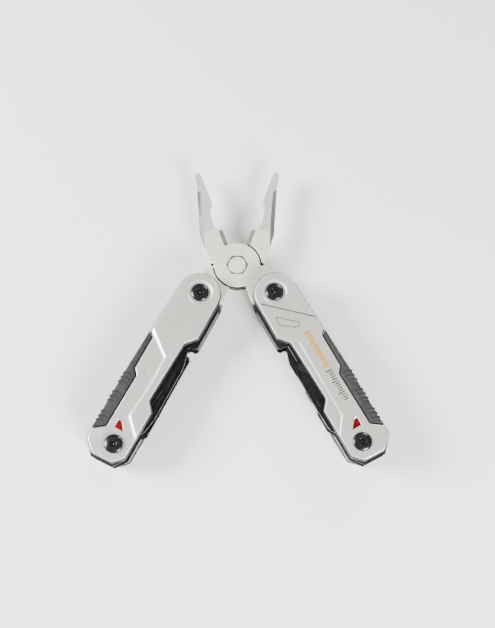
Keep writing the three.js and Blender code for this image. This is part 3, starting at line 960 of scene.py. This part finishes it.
def phillips_driver():
    points = rounded([(6.5, 2.0, 0), (7.2, 9.0), (10.6, 14.0, 2.0), (10.6, 34.0, 4.0),
                      (11.2, 48.0, 2.0), (11.2, 51.0, 0.6), (10.6, 53.0, 0.6), (9.2, 57.4, 0.5),
                      (8.2, 59.4, 0.3), (6.8, 59.4, 0.3), (5.8, 57.4, 0.5), (4.4, 53.0, 1.0),
                      (4.2, 34.0, 2.0), (-2.6, 28.0, 2.0), (-3.0, 8.0)])
    flute = stroke([(7.5, 50.0), (7.5, 60.0)], 0.9)
    cuts = [(beyond(52.0), [(0, 0.0), (7.5, 0.35)]), (flute, [(0, 0.0), (0.35, 0.2)])]
    folding_tool("phillips_driver", "right", "front", 0, points, cuts)


def flat_driver():
    points = rounded([(6.5, 2.0, 0), (7.2, 9.0), (9.8, 14.0, 2.0), (9.8, 24.0, 2.0),
                      (7.2, 28.0, 2.0), (7.0, 46.0, 3.0), (7.6, 54.0, 2.0), (7.6, 57.4, 0.15),
                      (-0.2, 57.4, 0.15), (-0.2, 54.0, 2.0), (0.4, 46.0, 3.0), (0.2, 28.0, 2.0),
                      (-2.4, 22.0, 2.0), (-3.0, 8.0)])
    tip = beyond(47.0)
    cuts = [(tip, [(0, 0.0), (10.4, 0.45)])]
    nick = lens(8.3, 25.0, 8.0, 15.0, 1.2)
    folding_tool("flat_driver", "right", "rear", 1, points, cuts, nick, [tip])


def bottle_opener():
    points = rounded([(6.5, 2.0, 0), (7.0, 9.0), (10.0, 14.0, 2.0), (9.6, 20.0, 0)])[:-1]
    points += [(9.6, 20.0)] + curve((9.6, 20.0), (3.0, 25.0), (5.6, 31.0), 12)
    points += rounded([(9.6, 30.0, 0.5), (9.8, 36.0, 1.5), (6.6, 44.0, 0.5), (0.2, 44.0, 1.0),
                       (-2.6, 30.0, 3.0), (-3.0, 8.0)])
    tip = beyond(36.0)
    cuts = [(tip, [(0, 0.0), (8.0, 0.4)])]
    folding_tool("bottle_opener", "right", "rear", 0, points, cuts, ground=[tip])


# ---- CAD nodes whose shape is right ----

def refine_frames():
    for side in SIDES:
        refine(f"{side}_frame", COAT, 0.12)
        for node in ("lock_bar", "tool_spacer", "handle_pin", "tool_pin"):
            refine(f"{side}_{node}", TURNED, 0.2)
        for where, _ in FACES:
            refine(f"{side}_{where}_back_spring", COAT, 0.15)
            refine(f"{side}_{where}_lock_tab", RED, 0.25)


# ---- Studio ----

LEAN = math.radians(16)      # the camera's, towards the handles
ROLL = math.radians(-0.48)
DISTANCE = 0.450             # in metres, like everything in the studio
TARGET = Vector((plier_pivot.x + 0.0051, plier_pivot.y - 0.0287, MIDDLE + FACE * MM))
FOCAL_LENGTH = 51.6          # in millimetres, on a sensor 36 mm wide


def camera():
    """Looks down on the open tool, leaning back from it, near enough for its perspective."""
    data = bpy.data.cameras.new("camera")
    data.sensor_fit = "AUTO"
    data.sensor_width = 36
    data.lens = FOCAL_LENGTH
    data.clip_start = 0.01
    obj = bpy.data.objects.new("camera", data)
    obj.location = TARGET + DISTANCE * Vector((0, -math.sin(LEAN), math.cos(LEAN)))
    obj.rotation_euler = (Matrix.Rotation(LEAN, 3, "X") @ Matrix.Rotation(ROLL, 3, "Z")).to_euler()
    bpy.context.scene.collection.objects.link(obj)
    bpy.context.scene.camera = obj


def area_light(name, place, size, power):
    """A round light that faces the origin."""
    data = bpy.data.lights.new(name, "AREA")
    data.shape = "DISK"
    data.size = size
    data.energy = power
    obj = bpy.data.objects.new(name, data)
    obj.location = place
    obj.rotation_euler = (-Vector(place)).to_track_quat("-Z", "Y").to_euler()
    bpy.context.scene.collection.objects.link(obj)


def studio():
    """A pale paper floor just under the tool, soft light from everywhere and three lamps."""
    half = 3.0
    corners = [(-half, -half, 0), (half, -half, 0), (half, half, 0), (-half, half, 0)]
    mesh = bpy.data.meshes.new("floor")
    mesh.from_pydata(corners, [], [(0, 1, 2, 3)])
    floor = bpy.data.objects.new("floor", mesh)
    floor.location.z = -0.0002
    bpy.context.scene.collection.objects.link(floor)
    paper = Surface("floor_paper", 0.0, Roughness=0.9, Specular_IOR_Level=0.1)
    paper.shader.inputs["Base Color"].default_value = (0.93, 0.93, 0.93, 1)
    mesh.materials.append(paper.material)

    world = bpy.data.worlds.new("studio")
    world.use_nodes = True
    background = world.node_tree.nodes["Background"]
    background.inputs["Color"].default_value = (1, 1, 1, 1)
    background.inputs["Strength"].default_value = 0.25
    bpy.context.scene.world = world
    area_light("key", (-0.75, 0.05, 0.55), size=0.4, power=24)
    area_light("fill", (0.40, -0.65, 0.55), size=0.4, power=22)
    area_light("back", (0.45, 0.75, 0.60), size=0.4, power=5)


camera()
build_head()
scales()
grips()
screws()
scale_marks()
knife_blade()
serrated_blade()
wood_saw()
metal_file()
can_opener()
phillips_driver()
flat_driver()
bottle_opener()
refine_frames()
studio()
